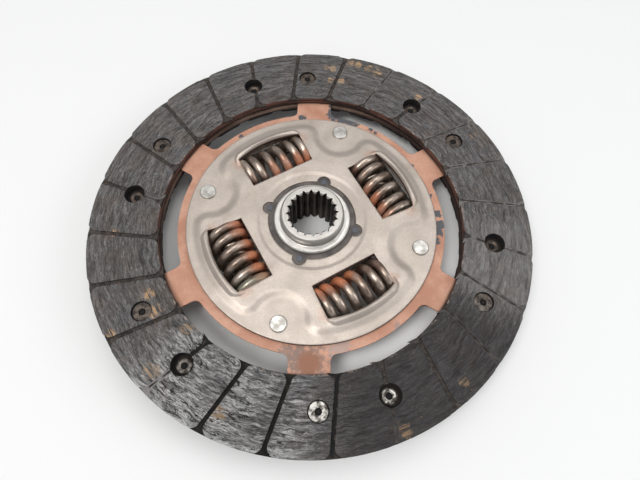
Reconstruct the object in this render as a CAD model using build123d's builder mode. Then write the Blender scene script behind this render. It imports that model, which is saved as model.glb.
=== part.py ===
from build123d import *
from math import asin, cos, degrees, pi, radians, sin
import os

# Clutch disc with a sprung hub, in millimetres.
# The disc's axis is Z, and the rear end of the hub stands on Z = 0. The front is the side that faces +Z.
# Two pressed side plates are held apart by four stop pins. The hub's flange turns a little between them
# against four coil springs. A cushion plate under the front side plate carries the two friction linings.

os.makedirs("parts", exist_ok=True)

# linings
lining_diameter = 190.0
lining_bore = 132.0
lining_thickness = 3.4
groove_count = 24
groove_width = 1.7
groove_depth = 1.1
groove_offset = 15.8  # distance from the disc's axis to the line of a groove
groove_direction = 10.6  # angle of the first groove line
pad_corner = 3.3

# rivets of the linings
rivet_circle = 157.8
rivet_count = 6
front_rivet_angle = 32.7
rear_rivet_angle = 52.7
rivet_head_diameter = 7.7
rivet_head_height = 0.8
rivet_shank_diameter = 4.6
rivet_bore = 2.6
rivet_web = 1.8  # lining left under a rivet's head
clinch_diameter = 6.4
clinch_height = 0.7
head_clearance = 0.25
clinch_clearance = 1.2
shank_clearance = 0.1

# stop pins
pin_circle = 96.2
pin_angle = 75.0
pin_shoulder_diameter = 9.0
pin_neck_diameter = 5.6
pin_head_diameter = 7.0
pin_head_height = 1.0
pin_head_edge = 0.3

# springs
spring_radius = 35.7  # from the disc's axis to the axis of a spring
spring_diameter = 18.4
spring_wire = 3.8
spring_turns = 6.0
spring_hand = -1
spring_room = 0.2
inner_spring_diameter = 10.0
inner_spring_wire = 2.0
inner_spring_turns = 8.0
inner_spring_hand = 1
coil_gap = 0.08
coil_tip_share = 0.3  # of the wire, left at the ground end of a coil
closed_turns = 0.75
ramp_turns = 0.75
points_per_turn = 5

# cushion plate
cushion_thickness = 0.8
cushion_wave = 0.6
cushion_margin = 10.3  # from the pins' circle out to the edge of the plate's ring
cushion_inner_margin = 0.7  # from the pins' circle in to the ring's bore
arm_count = 6
arm_angle = 30.0
arm_width = 16.6
arm_corner = 3.0
paddle_inner_radius = 68.6
paddle_outer_radius = 91.5
paddle_half_angle = 27.6
paddle_corner = 4.0
paddle_flat = 9.0  # half width that lies against the front lining
paddle_ramp = 16.0  # width over which the plate crosses to the rear lining
pin_ear_radius = 7.5

# side plates
flange_middle = 10.8  # height of the hub flange's middle plane
plate_margin = 6.4  # from the pins' circle out to the rim
plate_thickness = 2.0
plate_gap = 7.2  # between the rims of the two side plates
plateau_margin = 3.1  # from the pins' circle out to the plateau's foot
plateau_height = 1.1
plateau_slope = 3.0  # width of the plateau's sloping edge
plateau_rounding = 4.0
plateau_corner = 6.5
pocket_radius = 9.6
pocket_shift = 1.5  # from the pins' circle in to the centre of a pocket's round end
pocket_flare = 20.0  # degrees that a pocket's sides open outwards
centre_recess_diameter = 48.0
centre_recess_depth = 0.4
centre_recess_slope = 1.5
plate_edge = 0.3

# spring windows and their lips
window_count = 4
window_angle = 30.0
window_inner_overlap = 0.4  # how far a window's inner side covers the spring
window_length = 29.8
window_flare = 1.2  # extra width at the outer end of one side
lip_width = 3.3
lip_height = 1.7
lip_slope = 2.0
lip_rounding = 2.5
lip_overlap = 2.0  # how far a lip's foot stands beyond the window's ends
lip_rise_start = 5.4  # inside the window's outer side
lip_rise_end = 1.1  # outside it
lip_corner = 4.6
mouth_height = 1.2
mouth_slope = 0.8

# hub
hub_length = 23.0
boss_diameter = 27.2
boss_chamfer = 0.7
boss_foot_radius = 0.6
shoulder_diameter = 33.2
front_shoulder_height = 18.5
rear_shoulder_height = 4.2
flange_thickness = 4.0
flange_margin = 3.4  # from the pins' circle out to the flange's edge
twist_limit = 9.0  # degrees each way
stop_clearance = 0.4
notch_corner = 4.0
hub_window_clearance = 0.05
hub_window_side_clearance = 0.3
hub_edge = 0.5
tooth_count = 20
spline_root_diameter = 22.2
spline_tip_diameter = 19.2
tooth_tip_share = 0.32  # of the pitch on the tip circle
groove_floor_share = 0.1  # of the pitch on the root circle
spline_chamfer = 0.7
first_groove_angle = 3.4

# bushes and friction parts
bush_clearance = 0.06
bush_wall = 2.3
bush_drop = 0.25  # how far the bush's face lies below the plate's centre
bush_flange_width = 4.1
bush_flange_thickness = 1.2
lug_shift = 0.4  # from the bush's edge out to the centre of a lug
lug_diameter = 5.8
lug_pip_diameter = 2.7
lug_pip_height = 0.3
bush_hole_clearance = 0.1
washer_clearance = 0.2
washer_margin = 6.1  # from the rear bush's edge out to the washer's edge
rear_washer_thickness = 1.0
thrust_plate_thickness = 0.6
thrust_tab_width = 6.0
thrust_tab_length = 2.0
cone_thickness = 0.4
flange_rub_clearance = 0.05


# diameters and levels worked out from the sizes above
cushion_diameter = pin_circle + 2 * cushion_margin
cushion_bore = pin_circle - 2 * cushion_inner_margin
plate_diameter = pin_circle + 2 * plate_margin
plateau_diameter = pin_circle + 2 * plateau_margin
flange_diameter = pin_circle + 2 * flange_margin
pocket_reach = pin_circle / 2 - pocket_shift
window_inner = spring_radius - spring_diameter / 2 + window_inner_overlap
window_reach = spring_radius + spring_diameter / 2
lip_foot_radius = window_reach + lip_width
lip_start = window_reach - lip_rise_start
lip_full = window_reach + lip_rise_end
bush_diameter = shoulder_diameter + 2 * bush_wall
bush_flange_diameter = bush_diameter + 2 * bush_flange_width
lug_circle = bush_diameter + 2 * lug_shift
washer_diameter = bush_diameter + 2 * washer_margin
rim_level = plate_gap / 2
rim_face = rim_level + plate_thickness
plateau_level = rim_level + plateau_height
plateau_face = rim_face + plateau_height
centre_level = plateau_level - centre_recess_depth
centre_face = plateau_face - centre_recess_depth
cushion_top = flange_middle + rim_level
cushion_bottom = cushion_top - cushion_thickness
rear_lining_top = cushion_bottom - cushion_wave
flange_top = flange_middle + flange_thickness / 2
flange_bottom = flange_middle - flange_thickness / 2
bush_face = centre_face - bush_drop

front_lining_plane = Plane(
    origin=(0, 0, cushion_top),
    x_dir=Vector(1, 0, 0).rotate(Axis.Z, (front_rivet_angle + rear_rivet_angle) / 2),
    z_dir=(0, 0, 1),
)
rear_lining_plane = Plane(
    origin=(0, 0, rear_lining_top),
    x_dir=front_lining_plane.x_dir,
    z_dir=(0, 0, -1),
)
front_plate_plane = Plane(
    origin=(0, 0, flange_middle),
    x_dir=Vector(1, 0, 0).rotate(Axis.Z, window_angle),
    z_dir=(0, 0, 1),
)
rear_plate_plane = Plane(
    origin=(0, 0, flange_middle),
    x_dir=front_plate_plane.x_dir,
    z_dir=(0, 0, -1),
)
half_pair_angle = (rear_rivet_angle - front_rivet_angle) / 2
pin_offset_angle = pin_angle - window_angle


def polar_point(radius, angle):
    return (radius * cos(radians(angle)), radius * sin(radians(angle)))


# Where a straight line, at a direction and a distance from the axis, meets a circle.
def point_on_groove(radius, direction, offset):
    return polar_point(radius, direction + degrees(asin(offset / radius)))


def write(part, name):
    part.label = name
    export_step(part, f"parts/{name}.step")


# One friction lining, seen from its rubbing side. Twenty-four skewed grooves part its face into pads.
# Six counterbored holes hold its own rivets, and six plain holes clear the rivets of the other lining.
def lining_pad_face(level_plane):
    first = groove_direction - (front_rivet_angle + rear_rivet_angle) / 2
    pitch = 360 / groove_count
    outer, inner = lining_diameter / 2, lining_bore / 2
    low, high = groove_offset + groove_width / 2, groove_offset - groove_width / 2
    with BuildSketch(level_plane) as pad:
        with BuildLine():
            low_inner = point_on_groove(inner, first, low)
            low_outer = point_on_groove(outer, first, low)
            high_inner = point_on_groove(inner, first + pitch, high)
            high_outer = point_on_groove(outer, first + pitch, high)
            Line(low_inner, low_outer)
            RadiusArc(low_outer, high_outer, -outer)
            Line(high_outer, high_inner)
            RadiusArc(high_inner, low_inner, inner)
        make_face()
        fillet(pad.vertices(), radius=pad_corner)
    return pad.sketch


def lining(plane):
    pad_level = lining_thickness - groove_depth
    pad = lining_pad_face(Plane.XY)
    with BuildPart(plane) as ring:
        with BuildSketch(plane):
            Circle(lining_diameter / 2)
            Circle(lining_bore / 2, mode=Mode.SUBTRACT)
        extrude(amount=pad_level)
        with BuildSketch(plane.offset(pad_level)):
            with PolarLocations(0, groove_count):
                add(pad)
        extrude(amount=groove_depth)
        with Locations((0, 0, lining_thickness)):
            with PolarLocations(rivet_circle / 2, rivet_count, start_angle=-half_pair_angle):
                CounterBoreHole(
                    rivet_shank_diameter / 2 + shank_clearance,
                    rivet_head_diameter / 2 + head_clearance,
                    lining_thickness - rivet_web,
                )
            with PolarLocations(rivet_circle / 2, rivet_count, start_angle=half_pair_angle):
                Hole(clinch_diameter / 2 + clinch_clearance)
    return ring.part


with BuildPart() as front_lining:
    add(lining(front_lining_plane))
write(front_lining.part, "front_lining")

with BuildPart() as rear_lining:
    add(lining(rear_lining_plane))
write(rear_lining.part, "rear_lining")


# A tubular rivet, turned about its own axis. Zero is the seat of its head, and the clinched end is below.
def rivet(grip):
    bore, shank = rivet_bore / 2, rivet_shank_diameter / 2
    head, clinch = rivet_head_diameter / 2, clinch_diameter / 2
    edge = rivet_head_height / 4
    with BuildPart() as turned:
        with BuildSketch(Plane.XZ):
            with BuildLine():
                Polyline(
                    (bore, -grip),
                    (bore, rivet_head_height - edge),
                    (bore + edge, rivet_head_height),
                    (head - edge, rivet_head_height),
                    (head, rivet_head_height - edge),
                    (head, 0),
                    (shank, 0),
                    (shank, -grip),
                    (clinch, -grip),
                )
                RadiusArc((clinch, -grip), (shank, -grip - clinch_height), clinch - shank)
                Polyline((shank, -grip - clinch_height), (bore, -grip - clinch_height / 2), (bore, -grip))
            make_face()
        revolve(axis=Axis.Z)
    return turned.part


own_rivet = rivet(rivet_web + cushion_thickness)

with BuildPart(front_lining_plane.offset(rivet_web)) as front_lining_rivets:
    with PolarLocations(rivet_circle / 2, rivet_count, start_angle=-half_pair_angle):
        add(own_rivet)
write(front_lining_rivets.part, "front_lining_rivets")

with BuildPart(rear_lining_plane.offset(rivet_web)) as rear_lining_rivets:
    with PolarLocations(rivet_circle / 2, rivet_count, start_angle=-half_pair_angle):
        add(own_rivet)
write(rear_lining_rivets.part, "rear_lining_rivets")


# Cushion plate: one thin sheet, a ring with six arms that widen to waved paddles between the linings.
# One arm lies along X. Its middle touches the front lining, and its two wings touch the rear one.
paddle_reach = paddle_outer_radius + paddle_corner
wing_start = paddle_flat + paddle_ramp
neck_start = (cushion_bore + cushion_diameter) / 4

with BuildPart() as paddle:
    with BuildSketch(Plane.YZ.offset(cushion_bore / 2)):
        with BuildLine():
            for level in (0, -cushion_thickness):
                Line((-paddle_flat, level), (paddle_flat, level))
                for side in (-1, 1):
                    Spline(
                        (side * paddle_flat, level),
                        (side * wing_start, level - cushion_wave),
                        tangents=((side, 0), (side, 0)),
                    )
                    Line(
                        (side * wing_start, level - cushion_wave),
                        (side * paddle_reach, level - cushion_wave),
                    )
            for side in (-1, 1):
                Line(
                    (side * paddle_reach, -cushion_wave),
                    (side * paddle_reach, -cushion_wave - cushion_thickness),
                )
        make_face()
    extrude(amount=paddle_reach)
    with BuildSketch(Plane.XY.offset(-cushion_thickness - cushion_wave)) as paddle_outline:
        with BuildLine():
            low_out = polar_point(paddle_outer_radius, -paddle_half_angle)
            high_out = polar_point(paddle_outer_radius, paddle_half_angle)
            low_in = polar_point(paddle_inner_radius, -paddle_half_angle)
            high_in = polar_point(paddle_inner_radius, paddle_half_angle)
            RadiusArc(low_out, high_out, -paddle_outer_radius)
            Line(high_out, high_in)
            RadiusArc(high_in, low_in, paddle_inner_radius)
            Line(low_in, low_out)
        make_face()
        fillet(paddle_outline.vertices(), radius=paddle_corner)
        neck_middle = (neck_start + paddle_inner_radius + paddle_corner) / 2
        neck_length = paddle_inner_radius + paddle_corner - neck_start
        with Locations((neck_middle, 0)):
            Rectangle(neck_length, arm_width)
        neck_roots = paddle_outline.vertices().filter_by(
            lambda corner: abs(abs(corner.Y) - arm_width / 2) < 0.01 and corner.X > neck_start + 1
        )
        fillet(neck_roots, radius=arm_corner)
    extrude(amount=cushion_thickness + cushion_wave, mode=Mode.INTERSECT)

cushion_plane = Plane.XY.offset(cushion_top)

with BuildPart(cushion_plane) as cushion_plate:
    with BuildSketch(cushion_plane) as ring_outline:
        Circle(cushion_diameter / 2)
        with PolarLocations(neck_middle, arm_count, start_angle=arm_angle):
            Rectangle(neck_length, arm_width)
        arm_roots = ring_outline.vertices().filter_by(
            lambda corner: abs(Vector(corner.X, corner.Y).length - cushion_diameter / 2) < 0.01
        )
        fillet(arm_roots, radius=arm_corner)
        Circle(cushion_bore / 2, mode=Mode.SUBTRACT)
        with PolarLocations(pin_circle / 2, window_count, start_angle=pin_angle):
            Circle(pin_ear_radius)
    extrude(amount=-cushion_thickness)
    with PolarLocations(0, arm_count, start_angle=arm_angle):
        add(paddle.part)
    with PolarLocations(pin_circle / 2, window_count, start_angle=pin_angle):
        Hole(pin_neck_diameter / 2)
    with PolarLocations(rivet_circle / 2, rivet_count, start_angle=front_rivet_angle):
        Hole(rivet_shank_diameter / 2 + shank_clearance)
    with PolarLocations(rivet_circle / 2, rivet_count, start_angle=rear_rivet_angle):
        Hole(rivet_shank_diameter / 2 + shank_clearance)
write(cushion_plate.part, "cushion_plate")


# One side plate, on a plane at the middle of the hub's flange, with a window along X. A raised plateau
# carries the windows. Four pockets at its edge keep the plate low where the stop pins are riveted.
def plateau_outline(inset):
    flare = radians(pocket_flare)
    tangent_x, tangent_y = -pocket_radius * sin(flare), pocket_radius * cos(flare)
    open_x = plateau_diameter / 2 - pocket_reach + pocket_radius
    open_y = tangent_y + (open_x - tangent_x) * sin(flare) / cos(flare)
    with BuildSketch() as outline:
        Circle(plateau_diameter / 2)
        with PolarLocations(pocket_reach, window_count, start_angle=pin_offset_angle):
            Circle(pocket_radius, mode=Mode.SUBTRACT)
            Polygon(
                (tangent_x, -tangent_y),
                (open_x, -open_y),
                (open_x, open_y),
                (tangent_x, tangent_y),
                align=None,
                mode=Mode.SUBTRACT,
            )
        mouths = outline.vertices().filter_by(
            lambda corner: abs(Vector(corner.X, corner.Y).length - plateau_diameter / 2) < 0.01
        )
        fillet(mouths, radius=plateau_corner)
        offset(amount=-inset)
    return outline.sketch


# The opening over one spring. One of its ends opens outwards, and its mouth widens outside the plate.
def window_form():
    half = window_length / 2
    with BuildPart() as window:
        with BuildSketch() as outline:
            with BuildLine():
                straight = ((window_reach**2 - half**2) ** 0.5, half)
                flared_y = -half - window_flare
                flared = ((window_reach**2 - flared_y**2) ** 0.5, flared_y)
                Polyline(flared, (window_inner, -half), (window_inner, half), straight)
                RadiusArc(straight, flared, window_reach)
            make_face()
        extrude(amount=plateau_face + lip_height)
        with BuildSketch(Plane.XY.offset(plateau_face + lip_height - mouth_height)):
            add(outline.sketch)
        with BuildSketch(Plane.XY.offset(plateau_face + lip_height)):
            add(outline.sketch)
            offset(amount=mouth_slope, kind=Kind.INTERSECTION)
        loft()
    return window.part


# The raised lip outside one window. It dives into the plateau at both of its ends.
def lip_form():
    half = window_length / 2 + lip_overlap
    with BuildPart() as lip:
        with BuildSketch() as foot:
            with BuildLine():
                high = ((lip_foot_radius**2 - half**2) ** 0.5, half)
                low = (high[0], -half)
                Polyline(low, (lip_start, -half), (lip_start, half), high)
                RadiusArc(high, low, lip_foot_radius)
            make_face()
            outer_corners = foot.vertices().sort_by(Axis.X)[-2:]
            fillet(outer_corners, radius=lip_corner)
        with BuildSketch(Plane.XY.offset(lip_height)):
            add(foot.sketch)
            offset(amount=-lip_slope, kind=Kind.INTERSECTION)
        loft()
        top_edges = lip.edges().group_by(Axis.Z)[-1].sort_by(Axis.X)
        fillet(top_edges[1:], radius=lip_rounding)
        with BuildSketch(Plane.XZ):
            Polygon(
                (lip_start - lip_height, 0),
                (lip_start, 0),
                (lip_full, lip_height),
                (lip_full, 2 * lip_height),
                (lip_start - lip_height, 2 * lip_height),
                align=None,
            )
        extrude(amount=half, both=True, mode=Mode.SUBTRACT)
    return lip.part


def lies_at(edge, plane, level):
    return abs(plane.to_local_coords(edge.center()).Z - level) < 0.01


def side_plate(plane):
    plateau_foot = plateau_outline(0)
    plateau_top = plateau_outline(plateau_slope)
    window = window_form()
    lip = lip_form()
    with BuildPart(plane) as plate:
        with BuildSketch(plane.offset(rim_level)):
            Circle(plate_diameter / 2)
        extrude(amount=plate_thickness)
        with BuildSketch(plane.offset(rim_face)):
            add(plateau_foot)
        with BuildSketch(plane.offset(plateau_face)):
            add(plateau_top)
        loft()
        step_edges = plate.edges().filter_by(
            lambda edge: lies_at(edge, plane, plateau_face)
            or (lies_at(edge, plane, rim_face) and edge.length < plate_diameter)
        )
        fillet(step_edges, radius=plateau_rounding)
        with BuildSketch(plane.offset(rim_level)):
            add(plateau_foot)
        with BuildSketch(plane.offset(plateau_level)):
            add(plateau_top)
        loft(mode=Mode.SUBTRACT)
        with PolarLocations(0, window_count):
            with Locations((0, 0, plateau_face)):
                add(lip)
            with Locations((0, 0, plateau_level)):
                add(lip, mode=Mode.SUBTRACT)
        with BuildSketch(plane.offset(centre_level)):
            Circle(centre_recess_diameter / 2)
        extrude(amount=centre_recess_depth)
        with BuildSketch(plane.offset(plateau_face)):
            Circle(centre_recess_diameter / 2)
        with BuildSketch(plane.offset(centre_face)):
            Circle(centre_recess_diameter / 2 - centre_recess_slope)
        loft(mode=Mode.SUBTRACT)
        with PolarLocations(0, window_count):
            add(window, mode=Mode.SUBTRACT)
        with PolarLocations(spring_radius, window_count):
            Cylinder(
                spring_diameter / 2 + spring_room, window_length, rotation=(90, 0, 0), mode=Mode.SUBTRACT
            )
        with BuildSketch(plane.offset(rim_level)):
            Circle(bush_diameter / 2 + bush_hole_clearance)
            with PolarLocations(lug_circle / 2, window_count, start_angle=pin_offset_angle):
                Circle(lug_diameter / 2 + bush_hole_clearance)
            with PolarLocations(pin_circle / 2, window_count, start_angle=pin_offset_angle):
                Circle(pin_neck_diameter / 2)
        extrude(amount=rim_face, mode=Mode.SUBTRACT)
        rim_edges = plate.edges().filter_by(GeomType.CIRCLE).sort_by(SortBy.RADIUS)[-2:]
        fillet(rim_edges, radius=plate_edge)
    return plate.part


with BuildPart() as front_side_plate:
    add(side_plate(front_plate_plane))
write(front_side_plate.part, "front_side_plate")

with BuildPart() as rear_side_plate:
    add(side_plate(rear_plate_plane))
write(rear_side_plate.part, "rear_side_plate")


# A stop pin: a thick shoulder between the plates, and a riveted neck and head at each end.
with BuildPart() as stop_pin:
    with BuildSketch(Plane.XZ):
        with BuildLine():
            front_seat, rear_seat = rim_level - cushion_thickness, -rim_level
            front_end, rear_end = rim_face + pin_head_height, -rim_face - pin_head_height
            neck, head = pin_neck_diameter / 2, pin_head_diameter / 2
            Polyline(
                (0, rear_end),
                (head - pin_head_edge, rear_end),
                (head, rear_end + pin_head_edge),
                (head, -rim_face),
                (neck, -rim_face),
                (neck, rear_seat),
                (pin_shoulder_diameter / 2, rear_seat),
                (pin_shoulder_diameter / 2, front_seat),
                (neck, front_seat),
                (neck, rim_face),
                (head, rim_face),
                (head, front_end - pin_head_edge),
                (head - pin_head_edge, front_end),
                (0, front_end),
                (0, rear_end),
            )
        make_face()
    revolve(axis=Axis.Z)

with BuildPart(Plane.XY.offset(flange_middle)) as stop_pins:
    with PolarLocations(pin_circle / 2, window_count, start_angle=pin_angle):
        add(stop_pin.part)
write(stop_pins.part, "stop_pins")


# Hub: a splined boss and a flat flange. The flange has a window for each spring, and a notch around
# each stop pin that lets it turn as far as its twist limit each way.
notch_inner = pin_circle / 2 - pin_shoulder_diameter / 2 - stop_clearance
notch_outer = flange_diameter / 2 + stop_clearance
notch_half_angle = twist_limit + degrees(
    asin((pin_shoulder_diameter / 2 + stop_clearance) / (pin_circle / 2))
)
spline_root = spline_root_diameter / 2
spline_tip = spline_tip_diameter / 2
half_mouth = (1 - tooth_tip_share) * pi * spline_tip / tooth_count
half_floor = groove_floor_share * pi * spline_root / tooth_count
groove_start = spline_tip / 2
half_start = half_mouth + (half_mouth - half_floor) / (spline_root - spline_tip) * (spline_tip - groove_start)

with BuildSketch() as notch:
    with BuildLine():
        inner_low = polar_point(notch_inner, -notch_half_angle)
        inner_high = polar_point(notch_inner, notch_half_angle)
        outer_low = polar_point(notch_outer, -notch_half_angle)
        outer_high = polar_point(notch_outer, notch_half_angle)
        RadiusArc(inner_low, inner_high, -notch_inner)
        Line(inner_high, outer_high)
        RadiusArc(outer_high, outer_low, notch_outer)
        Line(outer_low, inner_low)
    make_face()
    fillet(notch.vertices().sort_by_distance((0, 0))[:2], radius=notch_corner)

with BuildPart() as hub:
    with BuildSketch():
        Circle(boss_diameter / 2)
    extrude(amount=hub_length)
    chamfer(hub.edges().filter_by(GeomType.CIRCLE), length=boss_chamfer)
    with BuildSketch(Plane.XY.offset(rear_shoulder_height)):
        Circle(shoulder_diameter / 2)
    extrude(amount=front_shoulder_height - rear_shoulder_height)
    shoulder_edges = hub.edges().filter_by(GeomType.CIRCLE).sort_by(SortBy.RADIUS)[-2:]
    chamfer(shoulder_edges, length=hub_edge)
    boss_circles = hub.edges().filter_by(GeomType.CIRCLE).filter_by(
        lambda edge: abs(edge.radius - boss_diameter / 2) < 0.01
    )
    fillet(boss_circles.sort_by(Axis.Z)[1:-1], radius=boss_foot_radius)
    with BuildSketch(Plane.XY.offset(flange_bottom)):
        Circle(flange_diameter / 2)
        with PolarLocations(spring_radius, window_count, start_angle=window_angle):
            Rectangle(
                spring_diameter + 2 * hub_window_side_clearance,
                window_length + 2 * hub_window_clearance,
                mode=Mode.SUBTRACT,
            )
        with PolarLocations(0, window_count, start_angle=pin_angle):
            add(notch.sketch, mode=Mode.SUBTRACT)
    extrude(amount=flange_thickness)
    with BuildSketch():
        Circle(spline_tip)
        with PolarLocations(0, tooth_count, start_angle=first_groove_angle):
            Polygon(
                (groove_start, -half_start),
                (spline_root, -half_floor),
                (spline_root, half_floor),
                (groove_start, half_start),
                align=None,
            )
    extrude(amount=hub_length, mode=Mode.SUBTRACT)
    with BuildSketch():
        Circle(spline_tip + spline_chamfer)
    extrude(amount=spline_chamfer, taper=45, mode=Mode.SUBTRACT)
    with BuildSketch(Plane.XY.offset(hub_length)):
        Circle(spline_tip + spline_chamfer)
    extrude(amount=-spline_chamfer, taper=45, mode=Mode.SUBTRACT)
write(hub.part, "hub")


# How far along its axis a coil's wire lies, at a number of turns from the coil's middle.
# The end turns are closed, and the pitch opens smoothly over a part of a turn.
def coil_advance(turn, half_turns, end_pitch, middle_pitch):
    side = 1 if turn >= 0 else -1
    turns_out = abs(turn)
    ramp_end = half_turns - closed_turns
    ramp_start = ramp_end - ramp_turns
    if turns_out <= ramp_start:
        opened = turns_out
    elif turns_out >= ramp_end:
        opened = (ramp_start + ramp_end) / 2
    else:
        share = (turns_out - ramp_start) / ramp_turns
        opened = ramp_start + (turns_out - ramp_start) / 2 + ramp_turns / (2 * pi) * sin(pi * share)
    return side * (end_pitch * turns_out + (middle_pitch - end_pitch) * opened)


# A compression spring along Y, centred, with closed ends ground flat.
def coil_spring(diameter, wire, turns, hand):
    coil_radius = (diameter - wire) / 2
    half_turns = turns / 2
    end_pitch = wire + coil_gap
    reach = window_length / 2 + wire / 2 - coil_tip_share * wire
    open_turns = half_turns - closed_turns - ramp_turns / 2
    middle_pitch = end_pitch + (reach - end_pitch * half_turns) / open_turns
    steps = int(turns * points_per_turn)
    points = []
    for step in range(steps + 1):
        turn = step / points_per_turn - half_turns
        angle = radians(-90 + hand * 360 * turn)
        along = coil_advance(turn, half_turns, end_pitch, middle_pitch)
        points.append((coil_radius * cos(angle), along, coil_radius * sin(angle)))
    with BuildPart() as coil:
        with BuildLine() as path:
            Spline(*points)
        wire_start = path.line.edge()
        with BuildSketch(Plane(origin=wire_start @ 0, z_dir=wire_start % 0)):
            Circle(wire / 2)
        sweep()
        Box(diameter * 2, window_length, diameter * 2, mode=Mode.INTERSECT)
    return coil.part


outer_coil = coil_spring(spring_diameter, spring_wire, spring_turns, spring_hand)
inner_coil = coil_spring(inner_spring_diameter, inner_spring_wire, inner_spring_turns, inner_spring_hand)


def spring_plane(angle):
    centre_x, centre_y = polar_point(spring_radius, angle)
    radial_x, radial_y = polar_point(1, angle)
    return Plane(origin=(centre_x, centre_y, flange_middle), x_dir=(radial_x, radial_y, 0), z_dir=(0, 0, 1))


for number in range(window_count):
    with BuildPart(spring_plane(window_angle + number * 360 / window_count)) as damper_spring:
        add(outer_coil)
    write(damper_spring.part, f"damper_spring_{number + 1}")

for number in range(2):
    with BuildPart(spring_plane(window_angle + number * 180)) as inner_spring:
        add(inner_coil)
    write(inner_spring.part, f"inner_spring_{number + 1}")


# Bushes centre the side plates on the hub. Four lugs key each bush to its plate.
bush_bore = shoulder_diameter / 2 + bush_clearance
bush_flange_top = flange_middle + centre_level
bush_flange_bottom = bush_flange_top - bush_flange_thickness
front_washer_bottom = flange_top + flange_rub_clearance
rear_washer_top = flange_bottom - flange_rub_clearance


def bush(plane, foot):
    with BuildPart(plane) as turned:
        with BuildSketch(plane.offset(foot)):
            Circle(bush_diameter / 2)
        extrude(amount=bush_face - foot)
        with BuildSketch(plane.offset(centre_level)):
            with PolarLocations(lug_circle / 2, window_count, start_angle=pin_offset_angle):
                Circle(lug_diameter / 2)
        extrude(amount=bush_face - centre_level)
        with BuildSketch(plane.offset(bush_face)):
            with PolarLocations(lug_circle / 2, window_count, start_angle=pin_offset_angle):
                Circle(lug_pip_diameter / 2)
        extrude(amount=lug_pip_height)
        with BuildSketch(plane.offset(foot)):
            Circle(bush_bore)
        extrude(amount=bush_face, mode=Mode.SUBTRACT)
    return turned.part


with BuildPart() as front_bush:
    add(bush(front_plate_plane, bush_flange_bottom - flange_middle))
    with BuildSketch(Plane.XY.offset(bush_flange_bottom)):
        Circle(bush_flange_diameter / 2)
        Circle(bush_bore, mode=Mode.SUBTRACT)
    extrude(amount=bush_flange_thickness)
write(front_bush.part, "front_bush")

with BuildPart() as front_friction_washer:
    with BuildSketch(Plane.XY.offset(front_washer_bottom)):
        Circle(bush_flange_diameter / 2)
        Circle(shoulder_diameter / 2 + washer_clearance, mode=Mode.SUBTRACT)
    extrude(amount=bush_flange_bottom - front_washer_bottom)
write(front_friction_washer.part, "front_friction_washer")

with BuildPart() as rear_bush:
    add(bush(rear_plate_plane, flange_middle - rear_washer_top))
write(rear_bush.part, "rear_bush")


# Around the rear bush a coned spring presses a thrust plate and a friction washer against the hub's flange.
washer_bore = bush_diameter / 2 + washer_clearance
thrust_plate_top = rear_washer_top - rear_washer_thickness
cone_top = thrust_plate_top - thrust_plate_thickness
cone_bottom = flange_middle - centre_level

with BuildPart() as rear_friction_washer:
    with BuildSketch(Plane.XY.offset(rear_washer_top)):
        Circle(washer_diameter / 2)
        Circle(washer_bore, mode=Mode.SUBTRACT)
    extrude(amount=-rear_washer_thickness)
write(rear_friction_washer.part, "rear_friction_washer")

with BuildPart() as thrust_plate:
    with BuildSketch(Plane.XY.offset(thrust_plate_top)):
        Circle(washer_diameter / 2)
        with PolarLocations(washer_diameter / 2, window_count, start_angle=pin_angle):
            Rectangle(2 * thrust_tab_length, thrust_tab_width)
        Circle(washer_bore, mode=Mode.SUBTRACT)
    extrude(amount=-thrust_plate_thickness)
write(thrust_plate.part, "thrust_plate")

with BuildPart() as cone_spring:
    with BuildSketch(Plane.XZ):
        with BuildLine():
            cone_inner, cone_outer = washer_bore + washer_clearance, washer_diameter / 2 - washer_clearance
            Polyline(
                (cone_inner, cone_top),
                (cone_inner, cone_top - cone_thickness),
                (cone_outer, cone_bottom),
                (cone_outer, cone_bottom + cone_thickness),
                (cone_inner, cone_top),
            )
        make_face()
    revolve(axis=Axis.Z)
write(cone_spring.part, "cone_spring")
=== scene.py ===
import math

import bmesh
import bpy
from mathutils import Matrix, Vector, noise


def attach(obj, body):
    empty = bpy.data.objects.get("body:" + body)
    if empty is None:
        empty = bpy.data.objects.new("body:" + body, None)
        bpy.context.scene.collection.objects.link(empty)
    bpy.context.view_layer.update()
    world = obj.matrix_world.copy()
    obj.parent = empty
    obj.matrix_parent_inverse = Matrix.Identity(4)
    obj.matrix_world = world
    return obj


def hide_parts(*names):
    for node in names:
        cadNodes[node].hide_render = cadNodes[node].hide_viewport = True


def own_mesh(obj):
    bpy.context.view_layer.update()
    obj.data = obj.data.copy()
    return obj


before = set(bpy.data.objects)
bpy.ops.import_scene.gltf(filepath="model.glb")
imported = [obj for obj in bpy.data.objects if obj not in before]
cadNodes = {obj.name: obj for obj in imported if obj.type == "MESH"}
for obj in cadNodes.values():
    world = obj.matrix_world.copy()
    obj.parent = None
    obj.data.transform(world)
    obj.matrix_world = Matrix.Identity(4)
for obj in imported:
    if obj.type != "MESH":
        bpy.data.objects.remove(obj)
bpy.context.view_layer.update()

# the dictionaries hold millimetres, degrees and linear colours; a noise is its scale, detail and roughness, a streaky
# one its flat scale, up scale, detail, roughness and distortion, blotches are size, cover and softness, and a bump is
# its strength, its height and the rounding of the edges
millimetre = 0.001
print("clutch disc: frame loaded,", len(cadNodes), "nodes")


# the steps that the node trees are built from; a value may be a number, a tuple or another node's output

def feed(tree, socket, value):
    if isinstance(value, bpy.types.NodeSocket):
        tree.links.new(value, socket)
    elif value is not None:
        socket.default_value = value


def mathStep(tree, operation, first, second=None):
    node = tree.nodes.new("ShaderNodeMath")
    node.operation = operation
    feed(tree, node.inputs[0], first)
    feed(tree, node.inputs[1], second)
    return node.outputs[0]


def times(tree, first, second):
    return mathStep(tree, "MULTIPLY", first, second)


def plus(tree, first, second):
    return mathStep(tree, "ADD", first, second)


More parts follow.
